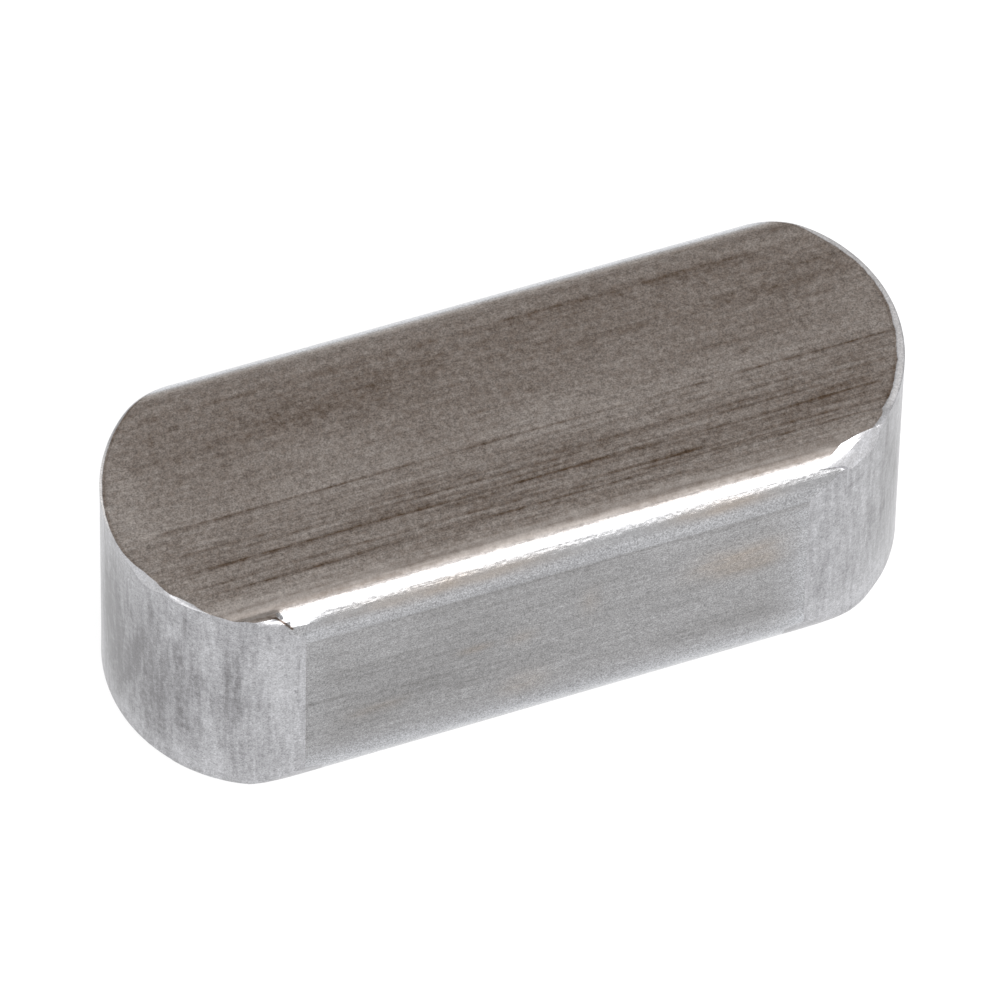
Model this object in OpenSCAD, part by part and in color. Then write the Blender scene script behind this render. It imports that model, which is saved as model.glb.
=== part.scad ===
// Parallel machine key with both ends round. It is one piece of drawn steel bar: the bar
// comes with its long edges already rounded, and the ends are milled to a full round later,
// so each milled wall cuts through the rounding of the long edges.
// The length runs along X, the width along Y and the height along Z. The origin is the
// middle of the face that the key rests on.

/* [Bar] */
// Width of the bar, which is also the width of the keyway that it fits
key_width = 8; // [6:0.5:14]
// Height of the bar, from the bottom of the keyway to the top face
key_height = 7; // [6:0.5:10]
// Length over the crowns of the two round ends
key_length = 20; // [16:1:60]

/* [Long edges] */
// Tight radius with which a long edge turns over onto the top or bottom face
face_turn_r = 0.55; // [0.3:0.05:0.8]
// Easy radius with which the same edge runs out onto the side
side_turn_r = 1.5; // [1:0.1:2.2]

/* [Milled ends] */
// How much the radius of the two ends is over half the width of the bar
end_over = 0.05; // [0.05:0.05:0.4]
// Width across of the edge break round the left end
left_break = 0.15; // [0.1:0.05:0.3]
// Width across of the edge break round the right end, which was filed further
right_break = 0.2; // [0.1:0.05:0.3]
// Depth of both edge breaks down the milled wall
break_drop = 0.1; // [0.05:0.05:0.3]

/* [Hidden] */
$fn = 96;

half_width = key_width / 2;
half_height = key_height / 2;
end_r = half_width + end_over;
end_axis_x = key_length / 2 - end_r;

// The two radii of a long edge meet where its normal leans up by 3 in 4 from the side's
// normal. The points are those of the upper right quarter of the section.
turn_dir = [4, 3] / 5;
edge_drop = (side_turn_r - face_turn_r) * turn_dir.y + face_turn_r;
side_centre = [half_width - side_turn_r, half_height - edge_drop];
face_centre = side_centre + (side_turn_r - face_turn_r) * turn_dir;
side_point = [half_width, side_centre.y];
meet_point = side_centre + side_turn_r * turn_dir;
face_point = [face_centre.x, half_height];

// A slice of a circle about its own centre, between two directions under a right angle apart
module pie(radius, from_dir, to_dir) {
    reach = 2 * radius;
    intersection() {
        circle(r = radius);
        polygon([[0, 0], reach * from_dir, reach * to_dir]);
    }
}

// The two arcs of one long edge, in the upper right quarter of the section
module edge_turn() {
    translate(side_centre) pie(side_turn_r, [1, 0], turn_dir);
    translate(face_centre) pie(face_turn_r, turn_dir, [0, 1]);
}

// Section of the drawn bar about its own middle: flats joined by four rounded edges
module bar_section() {
    quarter = [side_point, meet_point, face_point];
    polygon([
        for (p = quarter) p,
        for (i = [2:-1:0]) [-quarter[i].x, quarter[i].y],
        for (p = quarter) -p,
        for (i = [2:-1:0]) [quarter[i].x, -quarter[i].y]
    ]);
    for (flip_y = [0, 1]) mirror([flip_y, 0]) {
        for (flip_z = [0, 1]) mirror([0, flip_z]) edge_turn();
    }
}

// Length of drawn bar that the key is milled from
module drawn_bar() {
    translate([0, 0, half_height]) rotate([90, 0, 90])
        linear_extrude(height = key_length, center = true) bar_section();
}

// Round end as the mill leaves it, a wall about an upright axis with both rims broken
module milled_end(axis_x, edge_break) {
    translate([axis_x, 0, 0]) rotate_extrude() polygon([
        [0, 0],
        [end_r - edge_break, 0],
        [end_r, break_drop],
        [end_r, key_height - break_drop],
        [end_r - edge_break, key_height],
        [0, key_height]
    ]);
}

// Everything that the mill leaves standing, seen from above as a slot with round ends. It is
// a little wider than the bar, so the flanks stay as drawn and end in a faint upright corner.
module milled_outline() {
    translate([-end_axis_x, -end_r, 0]) cube([2 * end_axis_x, 2 * end_r, key_height]);
    milled_end(-end_axis_x, left_break);
    milled_end(end_axis_x, right_break);
}

module key() {
    color("darkgray") intersection() {
        drawn_bar();
        milled_outline();
    }
}

key();
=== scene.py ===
# %% [markdown]
# A parallel key is a short bar of steel that sits half in a shaft and half in a hub and makes them turn
# together. This one is a piece of drawn bar, 8 mm wide and 7 mm high, with both ends milled to a half
# round. It has three finishes: the drawn skin, which keeps long scratches and a brown cast from the die;
# the milled end walls, which are paler and carry upright cutter marks; and the rim that a file or the
# cutter broke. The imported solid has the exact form. Blender adds what a solid cannot carry: the scratches,
# the slightly off-centre ends of this very key, the burr with its nick at the near left corner, the filed
# crescent at the near right corner, and the three finishes.

# %% Open the frame
import math

import bmesh
import bpy
import numpy as np
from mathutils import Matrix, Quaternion, Vector


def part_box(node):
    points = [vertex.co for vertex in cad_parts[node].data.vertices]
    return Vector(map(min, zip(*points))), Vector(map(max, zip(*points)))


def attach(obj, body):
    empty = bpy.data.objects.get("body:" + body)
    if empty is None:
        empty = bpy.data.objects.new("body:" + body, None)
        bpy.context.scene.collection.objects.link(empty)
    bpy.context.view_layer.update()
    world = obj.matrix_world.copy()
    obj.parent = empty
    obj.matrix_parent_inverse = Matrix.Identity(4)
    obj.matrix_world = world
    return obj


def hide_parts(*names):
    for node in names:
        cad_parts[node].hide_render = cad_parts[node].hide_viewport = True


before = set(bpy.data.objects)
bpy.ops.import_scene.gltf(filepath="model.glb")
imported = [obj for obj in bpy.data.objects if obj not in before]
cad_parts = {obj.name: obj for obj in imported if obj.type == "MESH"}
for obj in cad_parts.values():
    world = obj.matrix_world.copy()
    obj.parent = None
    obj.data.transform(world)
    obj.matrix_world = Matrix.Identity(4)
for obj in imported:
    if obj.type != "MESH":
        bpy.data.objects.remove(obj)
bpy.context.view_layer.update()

low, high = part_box("key")
print("key box in millimetres:", [round(1000 * v, 3) for v in (*low, *high)])

# %% [markdown]
# All shape work below is in millimetres, because a maker reads a key in millimetres, and the mesh is
# scaled to metres once, when it is made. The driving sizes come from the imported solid, so the dressed key
# can't drift away from it. The section's radii are the bar maker's, and they are written here once.

# %% Sizes of the bar
MM = 0.001
half_length = high.x / MM
half_width = high.y / MM
height = high.z / MM
turn_cos, turn_sin = 0.8, 0.6  # direction in which the two roundings of a long edge meet
# each long edge: rounding next to the face, rounding next to the flank (the die is worn on the far side)
TURNS = {-1: (0.55, 1.50), 1: (0.985, 0.985)}
# share of that rounding at each end of the underside's near edge, which leans a little
LOWER_SHARE = {-1: {-1: 0.81, 1: 0.99}, 1: {-1: 1.0, 1: 1.0}}


def turn_drop(face_r, side_r):
    """Height of a long edge's rounding: face radius plus the rest of the side radius up to the meeting."""
    return face_r + (side_r - face_r) * turn_sin


print("rounding heights, near and far:", [round(turn_drop(*TURNS[side]), 3) for side in (-1, 1)])

# %% [markdown]
# The ends. A cutter went round each end once, a little off the bar's centreline, so each end is part of a
# circle that is slightly larger than half the bar, and the flank ends sooner on the near side than on the
# far one. Seen from above, the wall is a function of y: centre plus the square root of radius squared less
# the offset squared. That keeps the wall's columns at fixed y, so they can join the bar's own columns.

# %% The milled ends
END_R = {-1: 4.050, 1: 4.122}  # left end, right end
END_OFF = {-1: 0.025, 1: 0.094}  # the cutter's path lay this far towards the far flank


def end_reach(y, end, inset):
    """x of the end wall at y, drawn in by inset: the end's circle, written as a half-circle over y."""
    r = END_R[end] - inset
    return end * (half_length - END_R[end] + np.sqrt(np.maximum(r * r - (y - END_OFF[end]) ** 2, 0.0)))


for end in (-1, 1):
    near, far = (abs(float(end_reach(side * half_width, end, 0.0))) for side in (-1, 1))
    print("end", end, "flank ends at", round(near, 3), "near and", round(far, 3), "far")

# %% [markdown]
# The section. The long edges of drawn bar aren't plain quarter rounds: the die gives each a tight arc onto
# the face and an easy arc out onto the flank. Beside the edge the face already falls away a little, and
# that soft fall is what draws the bright line along the key. One list of columns goes over the top from
# the far flank to the near flank, and each column has a y and the drop under the face. Columns are 0.04 mm
# apart on the face, because the drawing scratches are that fine.

# %% Columns over the bar
side_steps, face_steps, flat_steps = 20, 16, 164
columns = 2 * (side_steps + face_steps) + flat_steps + 1
meet_angle = math.atan2(turn_sin, turn_cos)


def edge_arcs(side, share):
    """One long edge from the flank up to the face: how far in from the flank and how far under the face."""
    face_r, side_r = (r * share for r in TURNS[side])
    a = np.linspace(0.0, meet_angle, side_steps + 1)
    b = np.linspace(meet_angle, math.pi / 2, face_steps + 1)[1:]
    face_centre = side_r - (side_r - face_r) * turn_cos
    inward = np.concatenate([side_r * (1 - np.cos(a)), face_centre - face_r * np.cos(b)])
    drop = np.concatenate([turn_drop(face_r, side_r) - side_r * np.sin(a), face_r * (1 - np.sin(b))])
    return inward, drop


# %% The soft fall of the face beside a long edge
crown_start, crown_share = {-1: 2.65, 1: 2.95}, {-1: 1.0, 1: 0.25}  # near and far: from where, how much
crown_bend, crown_stop = 3.45, 3.85  # the parabola turns into a line at the first y, and the second ends it
crown_curve, crown_slope, crown_ease = 0.075, 0.12, 0.15
crown_fade = (0.25, 1.05)  # drops on the rounding between which the fall fades out


def crown(y, drop):
    """The face falls away softly near a long edge before the rounding starts: a parabola, then a line that
    levels out again. Lower on the rounding it fades, so the flank stays where it is."""
    start = np.where(y < 0, crown_start[-1], crown_start[1])
    t = np.clip(np.abs(y), start, crown_stop) - start
    bend = crown_bend - start
    past = np.maximum(t - bend, 0.0)
    depth = crown_curve * np.minimum(t, bend) ** 2 + crown_slope * past - crown_ease * past**2
    faded = np.clip((drop - crown_fade[0]) / (crown_fade[1] - crown_fade[0]), 0.0, 1.0)
    return depth * np.where(y < 0, crown_share[-1], crown_share[1]) * (1 - faded)


def section(top, end):
    """y and drop of every column at one end, from the far flank over the flat to the near flank."""
    (far_in, far_drop), (near_in, near_drop) = (
        edge_arcs(side, 1.0 if top else LOWER_SHARE[side][end]) for side in (1, -1))
    flat = np.linspace(half_width - far_in[-1], near_in[-1] - half_width, flat_steps + 1)[1:-1]
    y = np.concatenate([half_width - far_in, flat, (near_in - half_width)[::-1]])
    drop = np.concatenate([far_drop, np.zeros(flat.shape), near_drop[::-1]])
    return y, drop + crown(y, drop) if top else drop


print("columns over the bar:", columns, " fall of the face at the near edge:",
      round(float(crown(np.array(-crown_stop), 0.0)), 4))

# %% [markdown]
# Placed marks. The eye knows a surface by a few strong marks, so the strongest are short lists, given one
# by one, and everything weaker is seeded noise. On the face a scratch is a soft ridge function of
# y, faded in and out along x. On flank and end walls each mark is one soft oval. Above nought is darker,
# below is paler.

# %% Marks on the face
# each: y, half width, strength, from x, to x
SCRATCHES = [
    (2.71, 0.11, 0.55, -8.4, 8.6), (2.69, 0.06, 0.45, -6.7, -5.4), (2.72, 0.05, 0.30, -1.1, -0.3),
    (2.70, 0.08, 0.45, 1.1, 7.1), (2.54, 0.045, 0.40, 1.5, 7.5), (0.36, 0.03, 0.30, -6.0, 7.5),
    (-0.54, 0.034, 1.00, -9.7, 9.7), (-0.95, 0.045, 0.60, -9.4, -6.6), (-0.93, 0.04, 0.70, 6.1, 9.7),
    (-1.09, 0.04, 0.50, 5.0, 9.7), (-0.80, 0.03, 0.25, -5.0, 3.0), (-1.32, 0.045, 0.50, -9.2, 9.4),
    (-1.50, 0.045, 0.50, -8.0, 9.4), (-1.68, 0.03, 0.35, -5.0, 4.0), (-1.86, 0.050, 0.80, -9.0, 9.3),
    (-2.00, 0.04, 0.35, -3.0, 8.0), (-2.33, 0.045, 0.80, -8.7, 9.1), (-2.48, 0.035, 0.40, -2.0, 8.8),
    (-2.60, 0.045, 0.80, -8.6, 9.0), (-2.86, 0.035, 0.25, 0.0, 8.2), (1.52, 0.10, 0.35, 2.0, 8.6),
]
# each: y, half width, strength of a broad band along the whole face
BANDS = [
    (1.95, 0.72, 0.62), (0.70, 0.65, 0.32), (-0.55, 0.50, -0.12), (-1.50, 0.16, -0.22), (-2.10, 0.32, 0.25),
    # the paler band at y -3.30, beside the near edge, is partly polish and partly painted sheen next to the
    # bright line
    (-3.30, 0.45, -0.60), (3.12, 0.16, 0.20),
]
# each: x, y, half length along x, half width along y, strength
CLOUDS = [
    (-3.4, 1.65, 1.7, 0.35, 0.60), (7.5, 1.65, 1.2, 0.30, 0.40), (1.5, 1.6, 2.5, 0.40, 0.30),
    (-4.7, 0.45, 2.9, 0.65, -0.60), (2.1, 0.2, 2.2, 0.50, -0.45), (-7.0, -3.05, 1.7, 0.40, -0.50),
    (-9.4, 0.4, 0.6, 1.8, -1.10), (9.3, 0.3, 0.6, 1.2, -0.50), (-6.4, 1.4, 1.4, 0.55, 0.30),
    (3.0, -2.05, 5.5, 0.55, 0.30), (-2.0, -1.5, 4.0, 0.8, 0.25), (8.2, -1.8, 1.2, 0.8, 0.10),
    (6.0, 2.1, 2.6, 0.6, 0.35), (-2.2, 2.2, 3.4, 0.5, 0.25),
]
# each: x, y, radius, strength
SPOTS = [
    (-4.14, 2.32, 0.06, 0.6), (-4.70, 1.60, 0.06, 0.6), (-6.96, 1.54, 0.07, 0.6), (-6.00, 1.46, 0.05, 0.7),
    (-8.20, 2.04, 0.07, 0.7), (-6.80, 0.88, 0.06, 0.6), (-7.30, 0.71, 0.05, 0.5), (-6.10, -0.14, 0.06, 0.5),
    (6.20, -2.77, 0.07, 0.6), (6.10, 0.02, 0.05, 0.6), (-9.79, 0.55, 0.07, -2.2),
]
print("placed on the face:", len(SCRATCHES), "scratches,", len(CLOUDS), "clouds,", len(SPOTS), "spots")

# %% Marks on the near flank and on the end walls
# each: x, z, half length, half height, strength
FLANK_MARKS = [
    (0.0, 5.93, 6.0, 0.045, 0.75), (-3.7, 5.93, 0.5, 0.06, 0.50), (0.5, 5.93, 1.2, 0.05, 0.50),
    (4.6, 5.93, 1.4, 0.055, 0.55), (-4.3, 5.1, 1.2, 0.8, -0.45), (3.2, 3.3, 2.6, 0.9, -0.40),
    (-4.1, 4.33, 0.8, 0.09, 0.55), (-1.8, 4.36, 1.3, 0.08, 0.50), (3.0, 4.60, 0.7, 0.08, 0.55),
    (-2.1, 3.76, 0.45, 0.16, 0.90), (-5.9, 3.36, 0.7, 0.06, 1.60), (-6.3, 3.40, 0.10, 0.09, 1.5),
    (-2.2, 3.36, 1.6, 0.06, 0.40), (2.9, 3.16, 0.7, 0.08, 0.60), (-3.4, 3.05, 0.7, 0.20, 0.55),
    (-4.5, 2.50, 0.8, 0.25, 0.60), (-2.4, 2.42, 0.6, 0.10, 0.50), (-6.35, 2.0, 0.09, 0.12, 1.7),
    (0.0, 2.02, 3.4, 0.07, 0.40), (4.0, 2.04, 1.9, 0.06, 0.45), (3.0, 1.76, 0.6, 0.07, 0.45),
    (-0.8, 1.3, 0.25, 0.15, 0.70), (-3.6, 3.2, 2.2, 1.1, 0.35), (-0.9, 5.5, 2.5, 0.35, 0.20),
    (0.75, 5.6, 0.08, 0.25, 0.5), (-3.1, 5.68, 0.30, 0.10, 0.60),
]
# each: x, z, half length, half height, strength of a brown stain
STAINS = [
    (4.6, 4.45, 1.20, 0.50, 0.70), (4.9, 3.95, 0.80, 0.25, 0.45), (-2.6, 6.52, 2.4, 0.18, 1.00),
    (4.2, 6.52, 1.3, 0.16, 0.95), (-2.1, 3.76, 0.4, 0.15, 0.45), (-0.9, 3.7, 0.35, 0.30, 0.30),
    (-0.8, 1.75, 0.6, 0.45, 0.35), (0.8, 4.4, 0.25, 0.5, 0.30), (-4.6, 2.45, 0.7, 0.25, 0.30),
]
# each: distance along the wall from the near flank, z, half width, half height, strength
WALL_MARKS = {
    -1: [(0.6, 3.5, 0.55, 3.0, -0.25), (1.62, 4.9, 0.06, 1.0, 0.80), (1.90, 4.8, 0.06, 1.6, 0.75),
         (1.72, 3.0, 0.20, 2.0, 0.35), (2.97, 6.3, 0.08, 0.6, 0.90), (3.50, 6.5, 0.10, 0.35, 0.75),
         (3.20, 4.6, 0.09, 0.7, 0.90), (3.15, 2.5, 0.10, 0.9, 0.75), (3.0, 1.85, 0.35, 0.14, 0.55),
         (2.05, 1.65, 0.10, 0.18, 0.75), (2.45, 2.7, 0.10, 1.1, -0.60), (2.40, 5.2, 0.30, 1.2, -0.25),
         (3.32, 5.6, 0.18, 0.28, -0.50), (4.85, 3.2, 1.75, 2.7, 1.00), (4.0, 5.8, 0.10, 0.5, 0.70),
         (5.30, 2.8, 0.13, 1.9, 0.60), (4.28, 4.5, 0.10, 0.4, 0.60), (4.80, 2.6, 0.12, 0.8, 0.60),
         (3.75, 3.0, 0.10, 1.6, 0.35), (6.1, 4.85, 0.13, 0.10, 1.6), (3.2, 6.6, 2.2, 0.35, -0.25),
         (3.4, 0.45, 3.0, 0.45, -0.60), (3.6, 3.6, 2.3, 3.4, 0.36), (6.0, 3.5, 0.5, 2.8, 0.80),
         (1.9, 3.5, 0.6, 3.5, 0.30), (3.6, 3.4, 0.22, 2.8, 0.30), (5.0, 4.2, 0.8, 2.0, 0.20)],
    1: [(0.22, 4.6, 0.09, 2.2, -0.25), (0.72, 3.5, 0.16, 3.0, -0.45), (1.35, 5.7, 0.35, 0.12, 0.60),
        (1.85, 5.4, 0.10, 0.25, 0.70), (0.95, 4.7, 0.12, 0.4, 0.55), (2.72, 3.2, 0.13, 0.25, 0.90),
        (0.40, 3.1, 0.12, 0.5, 0.40), (3.1, 4.0, 0.8, 2.6, 0.90), (1.70, 3.0, 0.10, 2.0, -0.30),
        (1.2, 1.2, 1.5, 0.7, -0.45), (2.35, 2.0, 0.07, 0.6, -0.80), (0.30, 5.6, 0.20, 0.05, -1.2),
        (2.05, 4.0, 0.12, 1.6, 0.25), (1.6, 0.5, 2.4, 0.6, -0.60), (0.15, 3.5, 0.25, 3.2, -0.25),
        (1.9, 3.6, 2.2, 4.0, 0.38), (2.3, 6.65, 2.0, 0.35, 0.25)],
}
print("placed on a flank:", len(FLANK_MARKS), " on the end walls:", [len(v) for v in WALL_MARKS.values()])


# %% Fades, bells and seeded noise
def fade(value, start, end):
    """0 before start, 1 after end, and an S-curve between them."""
    t = np.clip((value - start) / (end - start), 0.0, 1.0)
    return t * t * (3 - 2 * t)


def bell(value, middle, half):
    """1 in the middle and falling on both sides: e to the minus square of the distance in half widths."""
    return np.exp(-(((value - middle) / half) ** 2))


def wander(t, seed):
    """Smooth seeded noise of one parameter: random heights at the whole numbers, joined by an S-curve."""
    heights = np.random.default_rng(seed).uniform(-1, 1, 4096)
    i = np.floor(t).astype(int)
    f = fade(t - i, 0.0, 1.0)
    return heights[i % 4096] * (1 - f) + heights[(i + 1) % 4096] * f


def patchy(u, v, seed):
    """Smooth seeded noise of two parameters: random heights on a square net, blended along both sides."""
    net = np.random.default_rng(seed).uniform(-1, 1, (512, 512))
    i, j = np.floor(u).astype(int), np.floor(v).astype(int)
    f, g = fade(u - i, 0.0, 1.0), fade(v - j, 0.0, 1.0)
    i0, i1, j0, j1 = i % 512, (i + 1) % 512, j % 512, (j + 1) % 512
    near_row = net[i0, j0] * (1 - f) + net[i1, j0] * f
    far_row = net[i0, j1] * (1 - f) + net[i1, j1] * f
    return near_row * (1 - g) + far_row * g


print("fade at a quarter:", fade(0.25, 0.0, 1.0), " bell one half width out:", bell(1.0, 0.0, 1.0).round(3))


# %% Masks from the lists
def scratch_mask(x, y):
    """How deep in a placed scratch a point lies: bells over y that fade in and out along x, summed."""
    mask = np.zeros(np.broadcast(x, y).shape)
    for k, (y0, half, strength, x0, x1) in enumerate(SCRATCHES):
        sway = 0.012 * wander(x * 0.35 + 10, 40 + k)
        uneven = 0.62 + 0.28 * wander(x * 1.3 + 30, 80 + k) + 0.30 * wander(x * 4.5 + 30, 180 + k)
        run = fade(x, x0 - 0.3, x0 + 0.5) * (1 - fade(x, x1 - 0.5, x1 + 0.3))
        mask += strength * bell(y, y0 + sway, half) * uneven * run
    return mask


def bells(marks, x, y):
    """Sum over the marks of strength times a bell over x times a bell over y."""
    return sum(strength * bell(x, x0, half_x) * bell(y, y0, half_y)
               for x0, y0, half_x, half_y, strength in marks)


def cloud_mask(x, y):
    """How dark the oxide lies, with a paler band beside the near edge that is partly polish and partly
    painted sheen: bands along the face and one broad bell for each placed cloud.
    """
    mask = bells(CLOUDS, x, y)
    for y0, half, strength in BANDS:
        uneven = 1 + 0.35 * wander(x * 0.6 + 80, 60 + int(10 * abs(y0)))
        mask += strength * uneven * bell(y, y0, half)
    return mask


def oval_marks(marks, u, v):
    """Sum of soft ovals on a flat or unrolled surface. A long one is broken up along its length by noise."""
    mask = np.zeros(np.broadcast(u, v).shape)
    for k, (u0, v0, half_u, half_v, strength) in enumerate(marks):
        pace_u, pace_v = (2.2, 9.0) if half_u > half_v else (9.0, 2.2)
        uneven = 0.72 + 0.28 * patchy(u * pace_u + 20 + k, v * pace_v + 20, 120 + k)
        mask += strength * uneven * np.exp(-np.abs((u - u0) / half_u) ** 2.6) * bell(v, v0, half_v)
    return mask


# %% Where the skin is painted paler: painted sheen, and paler ends
def rubbed(x, y, z):
    """How pale the skin is painted: a painted highlight on the far edge, and on the sides painted
    reflections in a stripe under the edge and at the bottom, and paler towards both ends. Each is a product
    of fades, and all are made a little uneven. The burr is left out."""
    far_edge = fade(y, 3.47, 3.66) * fade(z, 4.0, 6.0)
    burr = fade(-x, 6.85, 7.0) * fade(z, 6.80, 6.90)
    side = fade(np.abs(y), 3.40, 3.60) * (1 - burr)
    stripe = 0.36 * fade(z, 5.93, 6.03) * (1 - 0.55 * fade(z, 6.25, 6.45))
    bottom = 0.80 * (1 - fade(z, 0.4, 1.7))
    right = 0.22 * (fade(x, 5.3, 6.0) + fade(x, 5.95, 6.25)) * (1 - fade(z, 5.6, 5.95))
    left = 0.10 * (1 - fade(x, -6.2, -5.6))
    uneven = 0.85 + 0.15 * patchy(x * 1.3 + 9, (z + y) * 6.0 + 60, 33)
    return np.clip(np.maximum(far_edge, side * (stripe + bottom + right + left)), 0.0, 1.0) * uneven


print("rubbed at mid height and at the bottom of the near flank:",
      [round(float(rubbed(np.array(0.0), np.array(-half_width), np.array(z))), 3) for z in (3.5, 0.2)])

# %% [markdown]
# The burr. At the near corner of the left end the cutter pushed the metal up instead of cutting it clean.
# So the long edge isn't rounded there: the face runs on, nearly flat, to the wall, and stops at a short
# slanting nick. Past the nick the edge is only dressed to a small slope, which runs out into the rounding
# within a millimetre. Each column has two stations close together at the nick, so the change can be sharp.

# %% The burr at the near left corner
burr_x, burr_lean, burr_y = -7.06, 0.80, -3.69  # where the nick starts, and how it slants towards the wall
step_gap = 0.03  # along x between the two stations at the nick
slope_y, slope_fall = -3.62, 0.68  # the small slope past the nick: where it starts and how steep it is
slope_turn_y, slope_turn = -3.86, 1.5  # where that slope turns down to the flank, and how steeply
slope_run_out = (-6.80, -5.90)  # x between which it goes over into the rounding
burr_fill, burr_rise = 0.92, (3.40, 3.60)  # share of the rounding that the burr fills, and where it starts
lip_y, lip_fall = -3.80, 0.6  # where the burr bends down to the flank, and how steeply
near_columns = side_steps + face_steps + 24  # the columns of the near rounding and some of the face


def burr_end(y):
    """x of the nick at each y: a slanting line, which starts where the flat face stops."""
    return burr_x + burr_lean * np.clip(burr_y - y, 0.0, 0.6)


def left_corner(x, y, drop):
    """Drop near the left corner: the small slope replaces the rounding until it runs out. Left of the nick
    the burr keeps a twelfth of the drop and bends down at its end. Both start softly on the face."""
    start = np.interp(-slope_y, -y[-near_columns:], drop[-near_columns:])
    slope = start + slope_fall * (slope_y - y) + slope_turn * np.maximum(slope_turn_y - y, 0.0)
    slope = np.where(y < slope_y, np.minimum(drop, slope), drop)
    low = drop + (slope - drop) * (1 - fade(x, *slope_run_out))
    burr = low * (1 - burr_fill * fade(-y, *burr_rise)) + lip_fall * np.maximum(lip_y - y, 0.0)
    width = 0.04 + 0.18 * (1 - fade(-y, 3.68, 3.80))  # the nick is a step at the edge and soft on the face
    left_of_nick = 1 - fade(x, burr_end(y), burr_end(y) + width)
    return np.where(y < 0, low + (np.minimum(burr, low) - low) * left_of_nick, drop)


print("the nick runs from x", burr_x, "to x", round(float(burr_end(-half_width)), 3))

# %% [markdown]
# The rims. A milled end leaves a sharp edge, so a file or the cutter itself broke it. On the left the rim
# is a thin line that is wide only where the file leaned on it. On the right it is a flat band, and at the
# near corner the file also took a bite out of the long edge, which left a flat crescent. A rim is made as
# a cone: it starts at an inset from the wall and falls towards it, so it runs out by itself where the long
# edge has already dropped below it. Near a flank the wall runs almost along x, and there the rim is also
# kept short in x.

# %% How wide and how steep the rims are
RIM_LENGTH = {-1: 0.36, 1: 0.85}  # the most that a top rim reaches along x
LOW_RIM, LOW_SLOPE = {-1: 0.31, 1: 0.20}, 0.55  # width and slope of the rims round the underside
# size of the break where a long edge meets the wall, for each end, at the top and at the bottom
CORNER_BREAK = {(-1, True): 0.05, (1, True): 0.05, (-1, False): 0.20, (1, False): 0.27}
# the filed crescent: how far from the centreline it turns steep, how far it runs out, and how steep it gets
crescent_turn, crescent_stop, crescent_steep = (3.05, 3.22), (3.52, 3.80), 1.28
crescent_ease = 0.30  # how far the top of the wall is eased under it


def rim_width(y, end, top):
    """Inset of the rim at y: wide where the file leaned on it, narrow elsewhere, with small seeded chips."""
    if not top:
        return np.full(y.shape, LOW_RIM[end])
    if end < 0:
        filed = 0.085 * bell(y, -2.62, 0.26) + 0.10 * bell(y, -1.65, 0.55)
        broad = 0.024 + filed + 0.04 * fade(y, -0.6, 1.0)
        return broad * (1 + 0.12 * wander(y * 5.0 + 50, 7) + 0.06 * wander(y * 15.0 + 50, 8))
    broad = 0.12 + 0.07 * fade(-y, -0.6, 0.8) - 0.07 * fade(-y, 2.6, 3.1) - 0.05 * fade(y, 2.4, 3.2)
    return broad * (1 + 0.10 * wander(y * 5.0 + 50, 9) + 0.05 * wander(y * 17.0 + 50, 11))


def rim_slope(y, end, top):
    """How far the rim falls for each millimetre of its width: hardly on the right, steeply where filed."""
    if not top:
        return np.full(y.shape, LOW_SLOPE)
    return 0.62 + 1.5 * bell(y, -1.6, 0.6) if end < 0 else np.full(y.shape, 0.12)


def corner_break(y, end, top):
    """Size of the break where a long edge meets the wall. At the near top corners the file stayed longer: it
    left a flat crescent on the right, which widens quickly, and a short lip beside the burr on the left."""
    size = CORNER_BREAK[end, top] * np.clip(np.abs(y) / 3.0, 0.0, 1.0) ** 4
    if top and end > 0:
        crescent = 0.13 * fade(-y, 2.3, 2.9) + 0.20 * fade(-y, 3.10, 3.17)
        crescent += 0.75 * np.maximum(-y - 3.17, 0.0)
        size = np.where(y < 0, crescent * (1 - fade(-y, *crescent_stop)), size)
    if top and end < 0:
        size = np.where(y < 0, 0.15 * fade(-y, 3.68, 3.74) * (1 - fade(-y, 3.84, 3.90)), size)
    return size * fade(-np.abs(y), -half_width, -3.93)


for end in (-1, 1):
    widths = rim_width(np.array([-3.0, 0.0, 3.0]), end, True)
    print("end", end, "top rim width at y -3, 0 and 3:", widths.round(3))


# %% The rim at each column
def rim(y, drop, end, top):
    """The rim at each column: how far in it starts, how far under the face it meets the wall, and how round
    it is. The inset is the width times the share of the fall that the long edge has left to it."""
    wide = rim_width(y, end, top)
    fall = wide * rim_slope(y, end, top)
    size = corner_break(y, end, top)
    inset = np.maximum(wide * np.clip(1 - drop / fall, 0.0, 1.0), size)
    near_steep = 1.1 if end < 0 else 0.12 + crescent_steep * fade(-y, *crescent_turn)
    steep = np.where(y < 0, near_steep, 0.6) if top else 0.6
    if top:
        reach = np.sqrt(np.maximum(END_R[end] ** 2 - (y - END_OFF[end]) ** 2, 0.0))
        shorter = np.maximum(reach - RIM_LENGTH[end], 0.0)
        inset = np.minimum(inset, END_R[end] - np.sqrt(shorter**2 + (y - END_OFF[end]) ** 2))
    lowest = np.maximum(np.maximum(drop, fall), drop + steep * np.minimum(size, inset))
    if top and end > 0:  # the wall is eased a little further along than the file's flat
        eased = crescent_ease * fade(-y, *crescent_turn) * (1 - fade(-y, *crescent_stop))
        lowest = np.maximum(lowest, drop + eased)
    return inset, lowest, np.clip(size / 0.08, 0.35, 1.0)


print("the right rim is at most this wide:", round(float(rim(*section(True, 1), 1, True)[0].max()), 3))

# %% [markdown]
# The grids. The bar is one tube: a ring of columns carried along x, where each column runs from the inner
# rim of one end to the inner rim of the other. Each end has a wall, whose columns stand under the same y,
# and strips between the tube and the wall at the top and at the bottom. All are worked out as whole
# arrays.

# %% Stations along the bar
close_steps, burr_steps, near_steps, bar_steps, wall_steps, rim_steps = 6, 14, 12, 60, 70, 4
close_stretch, near_stretch = 0.30, 0.7  # stations are closer beside both rims and just past the burr


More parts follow.
